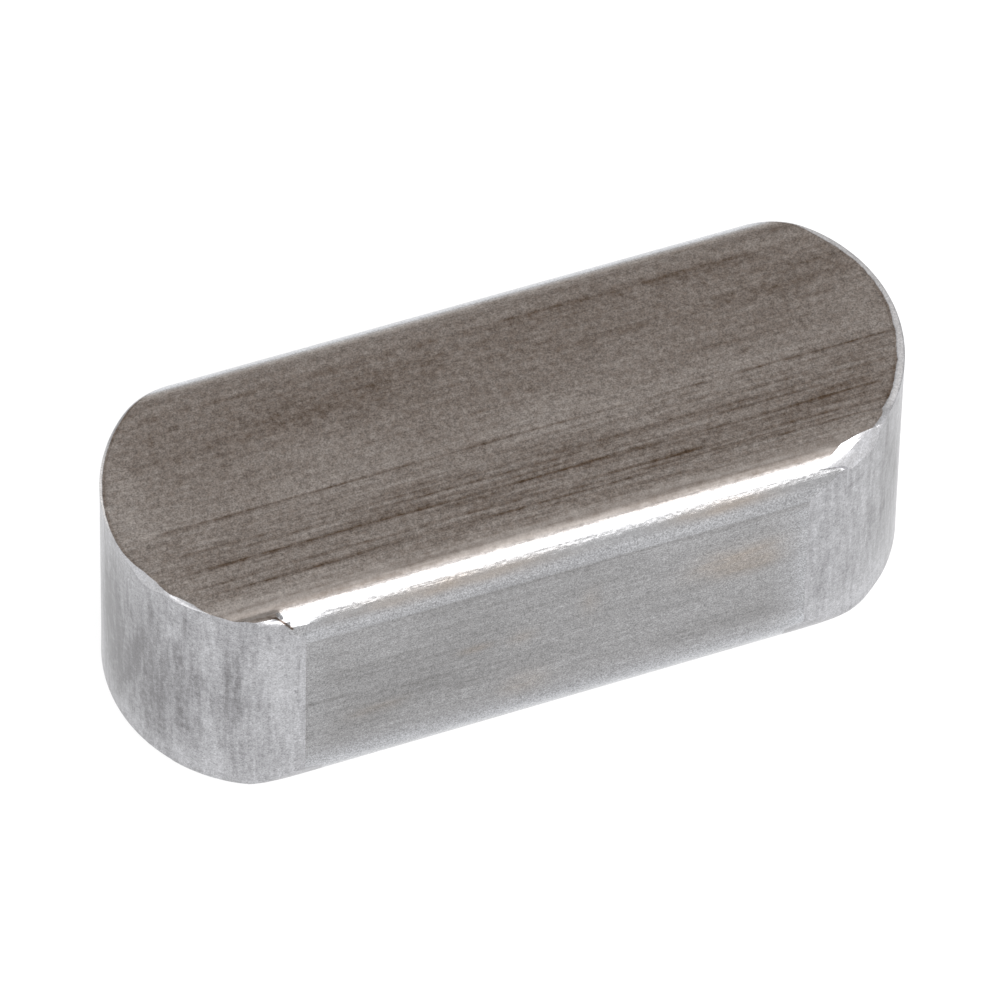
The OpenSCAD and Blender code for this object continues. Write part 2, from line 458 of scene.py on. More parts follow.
def stations(x_left, x_right, x_step):
    """x of every station in every column: close steps at the left rim, even steps up to the burr's end, a
    short gap, close steps, even steps, and close steps at the right rim."""
    split = np.clip(x_step, x_left, x_right)
    past = np.minimum(split + np.where(x_step > x_left, step_gap, 0.0), x_right)
    inner = x_left + np.minimum(close_stretch, 0.4 * (split - x_left))
    mid, outer = past + near_stretch, x_right - close_stretch
    runs = ((x_left, inner, close_steps), (inner, split, burr_steps), (past, mid, near_steps),
            (mid, outer, bar_steps), (outer, x_right, close_steps))
    parts = []
    for k, (a, b, steps) in enumerate(runs):
        t = np.linspace(0.0, 1.0, steps + 1)[:, None]
        parts.append((a + (b - a) * t)[0 if k in (0, 2) else 1:])
    return np.concatenate(parts)


def skin(top):
    """The upper or lower skin with its rims: x, y and drop over the tube, and for each end what its wall
    needs: x of the inner rim, x of the wall, y, drop at the inner rim, drop at the wall, and roundness."""
    ends = {}
    for end in (-1, 1):
        y, drop = section(top, end)
        if top and end < 0:
            drop = left_corner(end_reach(y, end, 0.0), y, drop)
        inset, fall, round_ = rim(y, drop, end, top)
        ends[end] = (end_reach(y, end, inset), end_reach(y, end, 0.0), y, drop, fall, round_)
    x_left, y_left, drop_left = (ends[-1][k] for k in (0, 2, 3))
    x_right, y_right, drop_right = (ends[1][k] for k in (0, 2, 3))
    x = stations(x_left, x_right, burr_end(y_left))
    t = (x - x_left) / (x_right - x_left)
    y = y_left + (y_right - y_left) * t
    if top:
        drop = left_corner(x, y_right, drop_right)
        drop[0] = drop_left
    else:
        drop = drop_left + (drop_right - drop_left) * t
    return x, y, drop, ends


top_x, top_y, top_drop, top_ends = skin(True)
low_x, low_y, low_drop, low_ends = skin(False)
print("stations:", len(top_x), " top skin quads:", (len(top_x) - 1) * (columns - 1))

# %% [markdown]
# Relief. The die leaves shallow grooves all along the bar, so the face is never a mirror. Their depth is a
# few thousandths of a millimetre: enough to bend a reflection, far too little to change a size. The placed
# scratches are cut into the mesh as well as coloured, so the form and the colour agree.

# %% Relief of the drawn skin
def drawn_relief(x, across, placed):
    """Depth below the skin: placed scratches, fine seeded grooves over the width, and slow waves along x."""
    fine = wander(across * 9.0 + 200, 3) + 0.6 * wander(across * 21.0 + 500, 5)
    waves = patchy(x * 0.45 + 40, across * 1.2 + 40, 21)
    return 0.0035 * placed + 0.0010 * (1 + fine) + 0.0012 * (1 + waves)


def edge_fade(n_rows, n_columns, steps=1.0):
    """1 inside a grid and 0 on its border, so that a displaced grid still meets its neighbours."""
    i = np.minimum(np.arange(n_rows), np.arange(n_rows)[::-1])[:, None]
    j = np.minimum(np.arange(n_columns), np.arange(n_columns)[::-1])[None, :]
    return np.clip(np.minimum(i, j) / steps, 0.0, 1.0)


def rim_shadow(x, y):
    """The thin painted shadow line just inside the rims: a bell over the distance to the rim."""
    right = bell(top_ends[1][0] - x, 0.03, 0.03) * fade(-y, -2.0, 0.4) * (1 - fade(-y, 2.6, 3.1))
    left = bell(x - top_ends[-1][0], 0.03, 0.035) * fade(y, -2.2, -0.8)
    return right * (0.80 + 0.40 * wander(y * 3.0 + 40, 15)) + 0.7 * left


spots = bells([(x0, y0, radius, radius, strength) for x0, y0, radius, strength in SPOTS], top_x, top_y)
# the painted shadow line inside the rims joins the scratches here, in colour and as a groove
top_scratch_and_shadow = scratch_mask(top_x, top_y) + spots + 0.9 * rim_shadow(top_x, top_y)
top_cloud = cloud_mask(top_x, top_y)
soft = edge_fade(*top_x.shape)
top_z = height - top_drop - soft * drawn_relief(top_x, top_y, top_scratch_and_shadow)
low_z = low_drop + soft * drawn_relief(low_x, low_y + 31.0, np.zeros(low_x.shape))
grit = fade(-top_y, 2.6, 3.4) * (1 - fade(-top_y, 3.82, 3.97))  # the near rounding is grainy
print("relief of the face, deepest in millimetres:", round(float((height - top_drop - top_z).max()), 4))

# %% The flanks
rows = np.linspace(0.0, 1.0, wall_steps + 1)


def flank(side):
    """A flank: stations along x as in the columns beside it, and rows from one rounding to the other."""
    column = 0 if side > 0 else columns - 1
    x = top_x[:, column][:, None] + (low_x[:, column] - top_x[:, column])[:, None] * rows
    upper, lower = height - top_drop[:, column][:, None], low_drop[:, column][:, None]
    z = upper + (lower - upper) * rows
    depth = edge_fade(*x.shape, steps=4.0) * drawn_relief(x, z + 11.0 * side, np.zeros(x.shape))
    marks = oval_marks(FLANK_MARKS, -side * x, z)
    return x, side * (half_width - depth), z, marks


# %% [markdown]
# The end walls. An end mill cuts with its side, so its marks stand upright: each tooth leaves a shallow
# flute, and where the feed paused the wall has a slightly deeper one. The relief is a function of the way
# along the wall, measured from the near flank.

# %% The end walls
def way_along(y, end):
    """Distance along the wall from the near flank to y: radius times the angle between them."""
    r = END_R[end]
    start = math.asin(max(-1.0, (-half_width - END_OFF[end]) / r))
    return r * (np.arcsin(np.clip((y - END_OFF[end]) / r, -1, 1)) - start)


def cutter_relief(s, z, end):
    """Depth of the cutter marks: upright flutes along s that drift a little with height, and slow facets."""
    lean = s + 0.03 * z
    flutes = wander(lean * 5.0 + 60, 61 + end) + 0.5 * wander(lean * 13.0 + 90, 71 + end)
    facets = wander(lean * 1.1 + 20, 81 + end)
    mottle = patchy(s * 2.0, z * 2.0, 91 + end)
    return 0.0016 * (1.5 + flutes) + 0.003 * (1 + facets) + 0.0008 * (1 + mottle)


def wall(end):
    """An end wall: each column leans from the upper skin's y to the lower skin's, and is pressed in."""
    y_top, fall_top = top_ends[end][2], top_ends[end][4]
    y_low, fall_low = low_ends[end][2], low_ends[end][4]
    z = (height - fall_top) + (fall_low - (height - fall_top)) * rows[:, None]
    y = y_top + (y_low - y_top) * rows[:, None]
    s = way_along(y, end)
    depth = edge_fade(*z.shape, steps=7.0) * cutter_relief(s, z, end)
    marks = oval_marks(WALL_MARKS[end], s, z)
    pressed = 1 - depth / half_length
    return end_reach(y, end, 0.0) * pressed, y * pressed, z, s, marks


print("way round each end:", [round(float(way_along(half_width, end)), 2) for end in (-1, 1)])


# %% The strips at the rims
FLAT_ALONG, FLAT_DOWN = (0.0, 0.48, 1.0), (0.0, 0.20, 1.0)  # right end: the filed flat, then the ease


def rim_strip(end, top):
    """The broken rim, from the skin's last station to the wall's first row: a flat cone where it was only
    touched, a quarter round where it was filed round, and a blend of both between."""
    x_in, x_out, y, d_in, d_out, round_ = (top_ends if top else low_ends)[end]
    t = np.linspace(0.0, 1.0, rim_steps + 1)[:, None]
    along_x = t * (1 - round_) + np.sin(t * math.pi / 2) * round_
    down = t * (1 - round_) + (1 - np.cos(t * math.pi / 2)) * round_
    if top and end > 0:  # filed flat first, and below that only eased into the wall
        along_x, down = (np.interp(t, (0.0, 0.5, 1.0), shares) for shares in (FLAT_ALONG, FLAT_DOWN))
    x = x_in + (x_out - x_in) * along_x
    d = d_in + (d_out - d_in) * down
    return x, np.broadcast_to(y, x.shape), height - d if top else d


print("rows and columns of a rim strip:", rim_strip(1, True)[0].shape)

# %% [markdown]
# One skin. The grids are stacked into one mesh: for each grid its corner numbers are made by adding up row
# and column counts, the faces are four shifted copies of that array, and a merge by distance welds the
# borders. It also removes the quads that have no area, such as those of a rim that has run out. Each point
# also carries numbers for the materials: scratch and cloud are the placed marks, and scratch also holds the
# painted shadow line inside the rims; stain and the paleness change the colour, where the paleness is
# painted sheen on the skin and wear on the rims; grit is where the skin is grainy, and along is the way
# along an end wall.

# %% Stack the grids into one mesh
DRAWN, MILLED, FILED = 0, 1, 2
grids = []  # each: x, y, z, finish, flip, marks


def add_grid(x, y, z, finish, flip, **marks):
    """Keeps a grid with its finish, which way its faces look, and its own marks (arrays over its points)."""
    x, y, z = (np.broadcast_to(np.asarray(a, float), np.asarray(x).shape) for a in (x, y, z))
    marks.setdefault("along", np.where(x > 0, way_along(y, 1), way_along(y, -1)))  # so shared borders agree
    grids.append((x, y, z, finish, flip, marks))


# on the rounding the marks come from the flank's lists, on the face from the face's own
on_side = fade(np.abs(top_y), 3.5, 3.7)
side_marks = oval_marks(FLANK_MARKS, -np.sign(top_y) * top_x, top_z) * on_side
# on the face the scratch numbers hold the painted shadow line inside the rims, and the paleness is painted
# sheen
add_grid(top_x, top_y, top_z, DRAWN, True, scratch=top_scratch_and_shadow * (1 - on_side) + side_marks,
         cloud=top_cloud * (1 - on_side), rub=rubbed(top_x, top_y, top_z), grit=grit,
         stain=oval_marks(STAINS, -np.sign(top_y) * top_x, top_z) * on_side)
add_grid(low_x, low_y, low_z, DRAWN, False, rub=rubbed(low_x, low_y, low_z))
for side in (-1, 1):
    fx, fy, fz, marks = flank(side)
    add_grid(fx, fy, fz, DRAWN, side < 0, scratch=marks, rub=rubbed(fx, fy, fz),
             stain=oval_marks(STAINS, -side * fx, fz))
for end in (-1, 1):
    wx, wy, wz, ws, marks = wall(end)
    add_grid(wx, wy, wz, MILLED, end > 0, along=ws, scratch=marks)
    for top in (True, False):
        rx, ry, rz = rim_strip(end, top)
        worn = 0.45 * fade(ry, -2.95, -2.3) if end > 0 else fade(ry, -0.6, 0.6) * (1 - fade(ry, 1.6, 2.8))
        add_grid(rx, ry, rz, FILED if top else MILLED, (end > 0) == top, along=way_along(ry, end), rub=worn)


def quads(shape, first, flip):
    """Corner numbers of a grid's quads: a point's number is its row times the row length plus its column."""
    n = first + np.arange(shape[0] * shape[1]).reshape(shape)
    corners = [n[:-1, :-1], n[1:, :-1], n[1:, 1:], n[:-1, 1:]]
    if flip:
        corners = corners[::-1]
    return np.stack(corners, -1).reshape(-1, 4)


MARKS = ("scratch", "cloud", "along", "rub", "grit", "stain")
points, faces, finishes = [], [], []
marks_all = {name: [] for name in MARKS}
count = 0
for x, y, z, finish, flip, marks in grids:
    points.append(np.stack([x, y, z], -1).reshape(-1, 3))
    faces.append(quads(x.shape, count, flip))
    finishes.append(np.full(len(faces[-1]), finish))
    for name in MARKS:
        marks_all[name].append(np.broadcast_to(marks.get(name, 0.0), x.shape).reshape(-1))
    count += x.size
points = np.concatenate(points) * MM
faces = np.concatenate(faces)
finishes = np.concatenate(finishes)
print("points before welding:", len(points), " quads:", len(faces))


# %% Weld
def weld(points, faces, finishes, marks, step=2e-7):
    """Points that fall in the same cell of a very fine net become one, and the quads follow them."""
    off_halves = 0.137  # so that sizes which end in 5 don't fall on the border of two cells
    key = np.round(points / step + off_halves).astype(np.int64)
    _, first, back = np.unique(key, axis=0, return_index=True, return_inverse=True)
    back = back.reshape(-1)
    faces = back[faces]
    return points[first], faces, finishes, {k: v[first] for k, v in marks.items()}


joined = {name: np.concatenate(v) for name, v in marks_all.items()}
points, faces, finishes, joined = weld(points, faces, finishes, joined)


def mesh_from(name, points, faces, finishes):
    """Puts points and faces into a mesh. Quads with a doubled corner become triangles; thinner ones go."""
    same = faces == np.roll(faces, -1, axis=1)
    doubled = same.any(1)
    keep = [[c for c, s in zip(f, d) if not s] for f, d in zip(faces[doubled].tolist(), same[doubled])]
    odd = [(f, m) for f, m in zip(keep, finishes[doubled]) if len(f) == 3]
    mesh = bpy.data.meshes.new(name)
    mesh.from_pydata(points.tolist(), [], faces[~doubled].tolist() + [f for f, _ in odd])
    index = np.concatenate([finishes[~doubled], np.array([m for _, m in odd], int)]).astype(np.int32)
    mesh.polygons.foreach_set("material_index", index)
    mesh.polygons.foreach_set("use_smooth", np.ones(len(mesh.polygons), bool))
    mesh.validate()
    return mesh


mesh = mesh_from("dressed_key", points, faces, finishes)
for name, values in joined.items():
    mesh.attributes.new(name, "FLOAT", "POINT").data.foreach_set("value", values.astype(np.float32))
key = bpy.data.objects.new("dressed_key", mesh)
bpy.context.scene.collection.objects.link(key)
mesh.set_sharp_from_angle(angle=math.radians(24))
print("dressed key:", len(mesh.vertices), "points,", len(mesh.polygons), "faces,",
      sum(len(p.vertices) - 2 for p in mesh.polygons), "triangles")


# %% Is the skin closed
def open_edges(mesh):
    """Counts the edges that don't have exactly two faces, and the volume by the divergence theorem."""
    bm = bmesh.new()
    bm.from_mesh(mesh)
    loose = sum(len(e.link_faces) != 2 for e in bm.edges)
    volume = bm.calc_volume(signed=True)
    bm.free()
    return loose, volume


loose, volume = open_edges(mesh)
print("edges without two faces:", loose, " volume in cubic millimetres:", round(volume / MM**3, 2))

# %% [markdown]
# Materials. Steel is a metal all over, so the three finishes are metallic and differ in colour, roughness
# and relief. Patterns read Object coordinates, turned into millimetres once by a Mapping node. Effects
# that more than one finish uses are node groups: a fine speckle, streaks along one direction, and the dark
# cut.

# %% Helpers for nodes
def new_group(name, inputs, outputs):
    """A node group with named sockets. inputs holds name, kind and value, and outputs names numbers."""
    tree = bpy.data.node_groups.new(name, "ShaderNodeTree")
    for label, kind, value in inputs:
        socket = tree.interface.new_socket(label, in_out="INPUT", socket_type="NodeSocket" + kind)
        if value is not None:
            socket.default_value = value
    for label in outputs:
        tree.interface.new_socket(label, in_out="OUTPUT", socket_type="NodeSocketFloat")
    return tree, tree.nodes.new("NodeGroupInput").outputs, tree.nodes.new("NodeGroupOutput").inputs


def plug(tree, socket, value):
    """Gives an input socket a plain value, or links another node's output to it."""
    if isinstance(value, bpy.types.NodeSocket):
        tree.links.new(value, socket)
    else:
        socket.default_value = value


def node(tree, kind, inputs=(), **settings):
    """Adds a node, sets its properties and plugs each named input."""
    n = tree.nodes.new(kind)
    for name, value in settings.items():
        setattr(n, name, value)
    for name, value in dict(inputs).items():
        plug(tree, n.inputs[name], value)
    return n


def maths(tree, operation, *values, clamp=False):
    """A Math node whose inputs are sockets or numbers."""
    n = node(tree, "ShaderNodeMath", enumerate(values), operation=operation, use_clamp=clamp)
    return n.outputs[0]


def weighted(tree, start, *terms, clamp=False):
    """start plus the sum of value times weight over the terms, as a row of Multiply Add nodes."""
    for k, (value, weight) in enumerate(terms, 1):
        start = maths(tree, "MULTIPLY_ADD", value, weight, start, clamp=clamp and k == len(terms))
    return start


def vector_maths(tree, operation, a, b, output="Vector"):
    """A Vector Math node whose inputs are sockets or three numbers. A linked number counts for all three."""
    return node(tree, "ShaderNodeVectorMath", {0: a, 1: b}, operation=operation).outputs[output]


def ranged(tree, value, start, end, low, high, soft=True):
    """A Map Range node: low at start, high at end, and an S-curve or a straight line between them."""
    inputs = {"Value": value, "From Min": start, "From Max": end, "To Min": low, "To Max": high}
    kind = "SMOOTHSTEP" if soft else "LINEAR"
    return node(tree, "ShaderNodeMapRange", inputs, interpolation_type=kind).outputs[0]


def mix_colour(tree, factor, a, b):
    """A colour Mix node whose inputs are sockets or colours."""
    a, b = ((*c, 1.0) if isinstance(c, tuple) else c for c in (a, b))
    n = node(tree, "ShaderNodeMix", data_type="RGBA", clamp_factor=True)
    for k, value in ((0, factor), (6, a), (7, b)):
        plug(tree, n.inputs[k], value)
    return n.outputs[2]


# %% Group: fine speckle
def speckle_group():
    """Grey-level noise at two fine sizes, centred on nought: four times the noise less a half."""
    tree, inp, out = new_group("fine_speckle", [("Position", "Vector", None), ("Size", "Float", 0.06),
                                                ("Detail", "Float", 2.0)], ["Value", "Height"])
    scale = maths(tree, "DIVIDE", 1.0, inp["Size"])
    fine = node(tree, "ShaderNodeTexNoise",
                {"Vector": inp["Position"], "Scale": scale, "Detail": inp["Detail"],
                 "Roughness": 0.6}).outputs[0]
    broad = node(tree, "ShaderNodeTexNoise",
                 {"Vector": inp["Position"], "Scale": maths(tree, "MULTIPLY", scale, 0.31), "Detail": 1.0,
                  "Roughness": 0.5}).outputs[0]
    plug(tree, out["Value"], weighted(tree, -2.0, (fine, 3.4), (broad, 0.6)))
    plug(tree, out["Height"], fine)
    return tree


# %% Group: streaks
def streak_group():
    """Noise that is stretched along one axis by squeezing that axis before the noise reads it."""
    tree, inp, out = new_group("long_streaks", [("Position", "Vector", None), ("Squeeze", "Vector", None),
                                                ("Fineness", "Float", 3.0)], ["Value"])
    squeezed = vector_maths(tree, "MULTIPLY", inp["Position"], inp["Squeeze"])
    noise = node(tree, "ShaderNodeTexNoise", {"Vector": squeezed, "Scale": inp["Fineness"], "Detail": 4.0,
                                              "Roughness": 0.62, "Distortion": 0.15}).outputs[0]
    plug(tree, out["Value"], weighted(tree, -2.0, (noise, 4.0)))
    return tree


# %% [markdown]
# The dark cut. Behind the burr's lip and down through the nick runs a hair-thin cut, whose shade is painted
# as a dark colour.
# The mesh is too coarse to carry it, and points on a mesh would draw it as blobs. So a node group measures
# the distance to a short line at any resolution, and all three finishes use it, because the cut crosses
# from one to the next.

# %% Group: the dark cut behind the lip
# x and y of the cut at face height, from the wall, along the lip and down over the nick
NICK = [(-7.496, -3.617), (-7.283, -3.654), (-7.077, -3.725),
        (-6.969, -3.856), (-6.873, -4.029), (-6.810, -4.146)]
nick_x, nick_y = -0.2485, -0.6597  # the cut goes down slanting: x and y for each millimetre of height
nick_depth = 0.6  # how far down it goes
nick_core, nick_edge = 0.012, 0.055  # distance from the line within which it is darkest, and where it ends
nick_dark = (0.30, 0.92)  # how dark it is along the lip, and down the nick


def cut_group():
    """Painted shade in the cut: 1 within a few hundredths of a millimetre of the line NICK, seen along the
    cut's slant. The distance to a line of straight parts is the least of the distances to its parts."""
    tree, inp, out = new_group("dark_cut", [("Position", "Vector", None)], ["Value"])
    at_face = []
    for slant, shift in (((1.0, 0.0, -nick_x), nick_x * height), ((0.0, 1.0, -nick_y), nick_y * height)):
        down = vector_maths(tree, "DOT_PRODUCT", inp["Position"], slant, "Value")
        at_face.append(maths(tree, "ADD", down, shift))
    flat = node(tree, "ShaderNodeCombineXYZ", enumerate(at_face)).outputs[0]
    nearest = 9.0
    for (ax, ay), (bx, by) in zip(NICK[:-1], NICK[1:]):
        step = (bx - ax, by - ay, 0.0)
        per_length = tuple(c / (step[0] ** 2 + step[1] ** 2) for c in step)
        from_a = vector_maths(tree, "SUBTRACT", flat, (ax, ay, 0.0))
        share = vector_maths(tree, "DOT_PRODUCT", from_a, per_length, "Value")
        on_line = vector_maths(tree, "MULTIPLY", maths(tree, "ADD", share, 0.0, clamp=True), step)
        away = vector_maths(tree, "DISTANCE", from_a, on_line, "Value")
        nearest = maths(tree, "MINIMUM", away, nearest)
    near = ranged(tree, nearest, nick_core, nick_edge, 1.0, 0.0)
    deep = ranged(tree, at_face[0], NICK[1][0], NICK[2][0], *nick_dark, soft=False)
    z = node(tree, "ShaderNodeSeparateXYZ", {0: inp["Position"]}).outputs[2]
    above = maths(tree, "GREATER_THAN", z, height - nick_depth)
    plug(tree, out["Value"], maths(tree, "MULTIPLY", maths(tree, "MULTIPLY", near, deep), above))
    return tree


SPECKLE, STREAKS, CUT = speckle_group(), streak_group(), cut_group()
print("node groups:", [group.name for group in (SPECKLE, STREAKS, CUT)])


# %% What every finish starts and ends with
# colour of the painted shade in the cut behind the lip and down the nick
CUT_SHADE = (0.075, 0.050, 0.036)


def steel(name):
    """A metallic material with its position in millimetres ready for patterns."""
    material = bpy.data.materials.new(name)
    material.use_nodes = True
    tree = material.node_tree
    shader = tree.nodes["Principled BSDF"]
    shader.inputs["Metallic"].default_value = 1.0
    where = node(tree, "ShaderNodeTexCoord").outputs["Object"]
    place = node(tree, "ShaderNodeMapping", {"Vector": where, "Scale": (1 / MM, 1 / MM, 1 / MM)})
    return material, tree, shader, place.outputs[0]


def grouped(tree, group, position, **values):
    """Places a node group with its own values and gives its outputs."""
    n = node(tree, "ShaderNodeGroup", node_tree=group)
    for name, value in (("Position", position), *values.items()):
        plug(tree, n.inputs[name], value)
    return n.outputs


def attribute(tree, name):
    """A number that the mesh carries at its points."""
    return node(tree, "ShaderNodeAttribute", attribute_name=name).outputs["Fac"]


def bump(tree, relief, distance, strength=1.0, **under):
    """A Bump node over the plain normal, or over the one it is given."""
    inputs = {"Height": relief, "Distance": distance, "Strength": strength, **under}
    return node(tree, "ShaderNodeBump", inputs).outputs[0]


def complete(tree, shader, place, colour, lift, rough, normal):
    """The end of a finish: painted shade in the cut, the colour times lift, and the links to the shader."""
    shaded_cut = mix_colour(tree, grouped(tree, CUT, place)["Value"], colour, CUT_SHADE)
    plug(tree, shader.inputs["Base Color"], vector_maths(tree, "MULTIPLY", shaded_cut, lift))
    plug(tree, shader.inputs["Roughness"], rough)
    plug(tree, shader.inputs["Normal"], normal)


# %% [markdown]
# Drawn steel. The skin looks brown on the face, where oxide lies in the grooves of the die, and plain grey
# on the flanks. The slope of the surface decides between the two, so the change follows the rounding.
# Streaks run along the bar. They are stronger on the near half of the face, where the photograph's light
# grazes them.

# %% Drawn steel
FACE_PALE, FACE_DARK = (0.430, 0.388, 0.360), (0.118, 0.080, 0.055)
SIDE_PALE, SIDE_DARK = (0.349, 0.347, 0.352), (0.180, 0.174, 0.172)
# the second colour is the pale colour of the painted sheen on the skin
STAIN, SHEEN_PALE = (0.330, 0.278, 0.232), (0.522, 0.534, 0.562)


def drawn_skin():
    """Brown-grey drawn skin: the darkness is a weighted sum of streaks, mottle, scratches and clouds, and it
    mixes a pale and a dark colour, one pair for the face and one for the flanks."""
    material, tree, shader, place = steel("drawn_skin")
    scratch, grit = attribute(tree, "scratch"), attribute(tree, "grit")
    normal = node(tree, "ShaderNodeNewGeometry").outputs["Normal"]
    tilt = maths(tree, "ABSOLUTE", node(tree, "ShaderNodeSeparateXYZ", {0: normal}).outputs[2])
    face = ranged(tree, tilt, 0.80, 0.925, 0.0, 1.0, soft=False)  # 0 on the flank and 1 on the face
    broad = grouped(tree, STREAKS, place, Squeeze=(0.10, 1.0, 1.0), Fineness=1.6)["Value"]
    fine = grouped(tree, STREAKS, place, Squeeze=(0.05, 1.0, 1.0), Fineness=9.0)["Value"]
    mottle = grouped(tree, SPECKLE, place, Size=0.16)["Value"]
    grain = grouped(tree, SPECKLE, place, Size=0.042)
    across = node(tree, "ShaderNodeSeparateXYZ", {0: place}).outputs[1]
    calmer_far = ranged(tree, across, -1.0, 0.3, 1.0, 0.5)
    along_bar = maths(tree, "MULTIPLY", calmer_far, weighted(tree, 0.0, (broad, 0.25), (fine, 0.27)))
    streaks = weighted(tree, along_bar, (mottle, 0.24))
    cloud = attribute(tree, "cloud")
    dark = weighted(tree, 0.36, (scratch, 0.62), (cloud, 0.22), (streaks, 1.0), clamp=True)
    side_dark = weighted(tree, 0.36, (scratch, 0.38), (streaks, 0.95), clamp=True)
    on_side = mix_colour(tree, side_dark, SIDE_PALE, SIDE_DARK)
    on_side = mix_colour(tree, attribute(tree, "stain"), on_side, STAIN)
    colour = mix_colour(tree, face, on_side, mix_colour(tree, dark, FACE_PALE, FACE_DARK))
    # painted sheen: the far edge's highlight and the flanks' reflections are painted as a paler colour
    colour = mix_colour(tree, attribute(tree, "rub"), colour, SHEEN_PALE)
    share = weighted(tree, 0.54, (maths(tree, "MULTIPLY", grit, grit), -0.36))  # the bright line is calmer
    lift = weighted(tree, 1.0, (grain["Value"], share))
    skin_normal = bump(tree, weighted(tree, fine, (grain["Height"], 0.5)), 1.0e-6)
    grains = grouped(tree, SPECKLE, place, Size=0.10, Detail=0.5)["Height"]
    grainy = bump(tree, grains, maths(tree, "MULTIPLY", grit, 0.4e-5), Normal=skin_normal)
    complete(tree, shader, place, colour, lift, weighted(tree, 0.21, (face, 0.12)), grainy)
    return material


# %% [markdown]
# Milled steel. The end walls are paler and greyer than the skin, with upright streaks from the cutter's
# teeth. A streak has to stay upright all round the end, so its noise reads the wall as if it were
# unrolled: the way along the wall and the height, with each end in its own part of the noise.

# %% Milled steel
WALL_PALE, WALL_DARK = (0.460, 0.460, 0.477), (0.200, 0.196, 0.203)


def milled_wall():
    """Pale end wall: upright streaks, mottling and placed marks in one weighted sum, and a fine speckle."""
    material, tree, shader, place = steel("milled_wall")
    x, _, z = node(tree, "ShaderNodeSeparateXYZ", {0: place}).outputs
    end = maths(tree, "MULTIPLY", maths(tree, "SIGN", x), 7.0)
    unrolled = node(tree, "ShaderNodeCombineXYZ", {0: attribute(tree, "along"), 1: z, 2: end}).outputs[0]
    broad = grouped(tree, STREAKS, unrolled, Squeeze=(1.0, 0.22, 1.0), Fineness=1.6)["Value"]
    fine = grouped(tree, STREAKS, unrolled, Squeeze=(1.0, 0.10, 1.0), Fineness=7.0)["Value"]
    mottle = grouped(tree, SPECKLE, place, Size=0.15)["Value"]
    grain = grouped(tree, SPECKLE, place, Size=0.042)
    marks = attribute(tree, "scratch")
    dark = weighted(tree, 0.28, (broad, 0.28), (fine, 0.32), (mottle, 0.26), (marks, 0.62))
    colour = mix_colour(tree, dark, WALL_PALE, WALL_DARK)
    beyond = maths(tree, "SUBTRACT", dark, 1.0, clamp=True)  # keeps the streaks alive in the darkest patches
    lift = weighted(tree, 1.0, (grain["Value"], 0.44), (beyond, -0.30))
    flutes = bump(tree, weighted(tree, fine, (grain["Height"], 0.4)), 1.2e-6)
    complete(tree, shader, place, colour, lift, weighted(tree, 0.34, (grain["Value"], 0.05)), flutes)
    return material


# %% [markdown]
# Filed steel. A broken rim is the brightest part, because nothing has had time to dull it. It is pale
# metal with short chips, and where the file rubbed it flat it turns a little warmer and rougher.

# %% Filed steel
RIM_PALE, RIM_DARK, RIM_RUBBED = (0.50, 0.50, 0.518), (0.38, 0.374, 0.38), (0.70, 0.68, 0.67)


def filed_rim():
    """Bright broken rim: pale metal mixed with darker chips, and a warm tint where the file wore it flat."""
    material, tree, shader, place = steel("filed_rim")
    grain = grouped(tree, SPECKLE, place, Size=0.042)["Value"]
    chips = grouped(tree, SPECKLE, place, Size=0.22)
    rub = attribute(tree, "rub")
    colour = mix_colour(tree, weighted(tree, 0.35, (chips["Value"], 0.5), clamp=True), RIM_PALE, RIM_DARK)
    colour = mix_colour(tree, rub, colour, RIM_RUBBED)
    lift = weighted(tree, 1.0, (grain, 0.30))
    complete(tree, shader, place, colour, lift, weighted(tree, 0.36, (rub, 0.34)),
             bump(tree, chips["Height"], 4e-6, 0.4))
    return material


for make in (drawn_skin, milled_wall, filed_rim):
    mesh.materials.append(make())
print("finishes:", [m.name for m in mesh.materials])

# %% [markdown]
# The studio. The key was photographed on white, so floor and world are white to the camera and in
# reflections, at strength 1, and give the object plain soft light otherwise. A fifth of the floor's white
# is a real surface, so the key keeps a faint shadow. Three soft boxes stand above and in front: the front
# one draws the bright line along the near long edge, the left one brightens the left rim, and the right
# one lights the filed crescent. A grey card hangs above and behind, because the face mirrors that part of
# the room and looks darker than the flank.

# %% Floor and world
def seen_directly(tree):
    """1 for camera, glossy and transmission rays, 0 for the rest."""
    path = node(tree, "ShaderNodeLightPath").outputs
    total = maths(tree, "ADD", path["Is Camera Ray"], path["Is Glossy Ray"])
    return maths(tree, "ADD", total, path["Is Transmission Ray"], clamp=True)


def sheet(name, paint, corners):
    """A flat sheet with a bare material. Gives the object and the material's node tree."""
    mesh = bpy.data.meshes.new(name)
    mesh.from_pydata(corners, [], [(0, 1, 2, 3)])
    flat = bpy.data.objects.new(name, mesh)
    bpy.context.scene.collection.objects.link(flat)
    material = bpy.data.materials.new(paint)
    material.use_nodes = True
    material.node_tree.nodes.clear()
    mesh.materials.append(material)
    return flat, material.node_tree


def white_floor(half, shadow_share):
    """A square sheet under the key: mostly white light where it is seen, the rest a real pale surface."""
    corners = [(-half, -half, 0), (half, -half, 0), (half, half, 0), (-half, half, 0)]
    floor, tree = sheet("floor", "white_floor", corners)
    paper = node(tree, "ShaderNodeBsdfDiffuse", {"Color": (0.9, 0.9, 0.9, 1.0)}).outputs[0]
    glow = node(tree, "ShaderNodeEmission", {"Color": (1.0, 1.0, 1.0, 1.0), "Strength": 1.0}).outputs[0]
    share = maths(tree, "MULTIPLY", seen_directly(tree), 1.0 - shadow_share)
    both = node(tree, "ShaderNodeMixShader", {0: share, 1: paper, 2: glow}).outputs[0]
    node(tree, "ShaderNodeOutputMaterial", {"Surface": both})


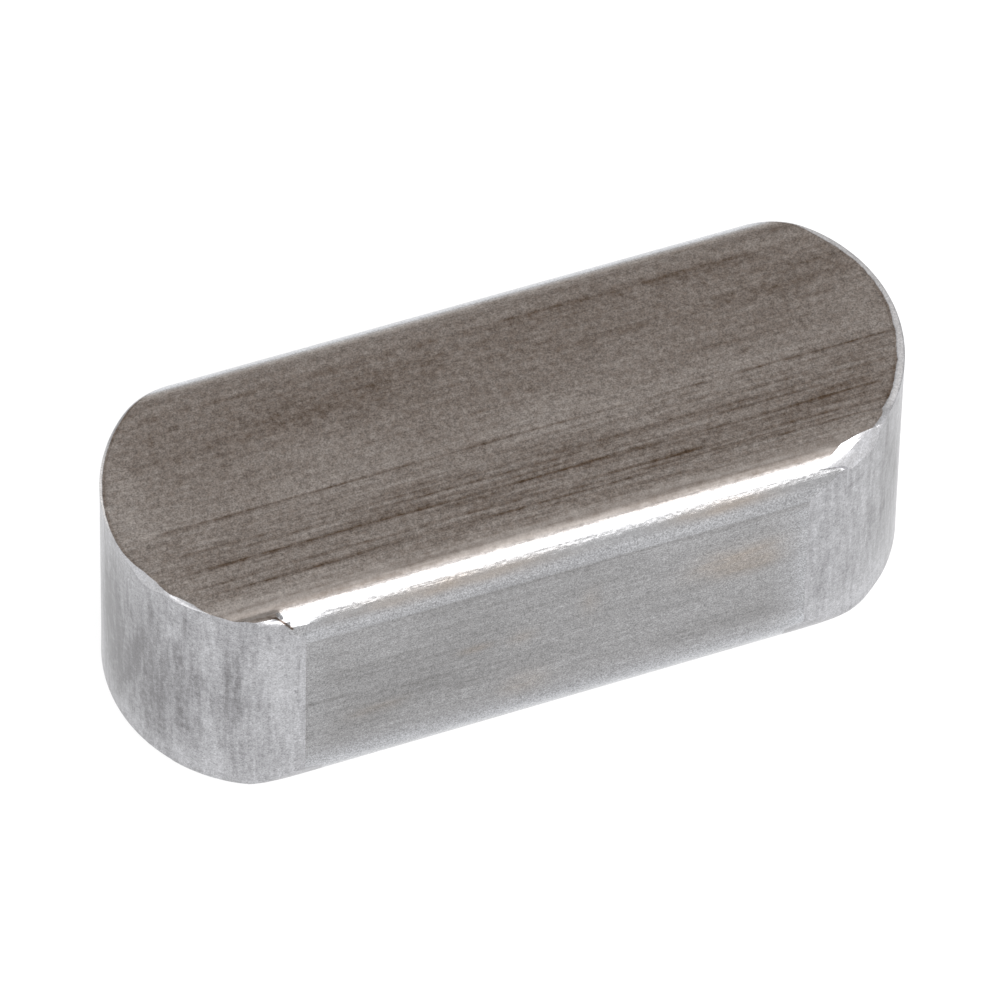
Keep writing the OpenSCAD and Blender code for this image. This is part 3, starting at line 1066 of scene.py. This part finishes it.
def white_world(fill):
    """White where it is seen or mirrored, and a dimmer plain light for everything else."""
    world = bpy.data.worlds.new("white_room")
    bpy.context.scene.world = world
    world.use_nodes = True
    tree = world.node_tree
    background = tree.nodes["Background"]
    background.inputs["Color"].default_value = (1.0, 1.0, 1.0, 1.0)
    plug(tree, background.inputs["Strength"], weighted(tree, fill, (seen_directly(tree), 1.0 - fill)))


white_floor(half=0.5, shadow_share=0.20)
white_world(fill=1.25)


# %% Soft boxes
def facing(direction, distance):
    """Place and turn of a flat lamp or card that hangs in a direction from the key and looks at it."""
    place = Vector(direction).normalized() * distance
    return place, (-place).to_track_quat("-Z", "Y")


def soft_box(name, direction, distance, width, depth, power):
    """A rectangular lamp that looks at the key."""
    lamp = bpy.data.lights.new(name, "AREA")
    lamp.shape, lamp.size, lamp.size_y, lamp.energy = "RECTANGLE", width, depth, power
    box = bpy.data.objects.new(name, lamp)
    box.location, turn = facing(direction, distance)
    box.rotation_mode = "QUATERNION"
    box.rotation_quaternion = turn
    bpy.context.scene.collection.objects.link(box)


def towards(azimuth, elevation):
    """Unit vector at an azimuth from the near side (-Y) towards +X and an elevation, both in degrees."""
    a, e = math.radians(azimuth), math.radians(elevation)
    return math.sin(a) * math.cos(e), -math.cos(a) * math.cos(e), math.sin(e)


soft_box("front_box", towards(6, 38.5), distance=0.40, width=0.52, depth=0.32, power=2.13)
soft_box("left_box", towards(-67, 38), distance=0.40, width=0.14, depth=0.14, power=0.16)
soft_box("right_box", towards(61.5, 35), distance=0.40, width=0.27, depth=0.21, power=0.73)
print("soft boxes:", {lamp.name: round(lamp.energy, 2) for lamp in bpy.data.lights})


# %% Grey card
def grey_card(direction, distance, width, depth, level):
    """A card that only reflections see: the part of a real room that is darker than its white walls."""
    place, turn = facing(direction, distance)
    u, v = turn @ Vector((width / 2, 0, 0)), turn @ Vector((0, depth / 2, 0))
    corners = [place - u - v, place + u - v, place + u + v, place - u + v]
    card, tree = sheet("grey_card", "grey_card", corners)
    glow = node(tree, "ShaderNodeEmission", {"Color": (*level, 1.0), "Strength": 1.0})
    node(tree, "ShaderNodeOutputMaterial", {"Surface": glow.outputs[0]})
    card.visible_camera = card.visible_diffuse = card.visible_shadow = False


grey_card(towards(165, 40), distance=0.45, width=0.9, depth=0.50, level=(0.58, 0.575, 0.57))

# %% [markdown]
# The camera is a long lens about 39 cm away, turned a little to the left of the key and looking down at 55
# degrees. Its place was found by fitting the projected section and ends of an 8 x 7 x 20 mm key to the
# picture.

# %% Camera
aim = Vector((-0.024, 0.091, 3.506)) * MM
azimuth, elevation, distance, roll, lens = -20.65, 54.815, 0.3922, 1.402, 585.2
back = Vector(towards(azimuth, elevation))
camera_data = bpy.data.cameras.new("camera")
camera_data.lens, camera_data.sensor_width = lens, 36.0
camera_data.clip_start, camera_data.clip_end = 0.01, 10.0
camera = bpy.data.objects.new("camera", camera_data)
camera.location = aim + back * distance
camera.rotation_mode = "QUATERNION"
camera.rotation_quaternion = (-back).to_track_quat("-Z", "Y") @ Quaternion((0, 0, 1), math.radians(roll))
bpy.context.scene.collection.objects.link(camera)
bpy.context.scene.camera = camera
bpy.context.scene.view_settings.view_transform = "Standard"
print("camera at, in millimetres:", [round(v / MM, 1) for v in camera.location])

# %% Ride, replace and finish
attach(key, "root")
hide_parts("key")
bpy.context.view_layer.update()
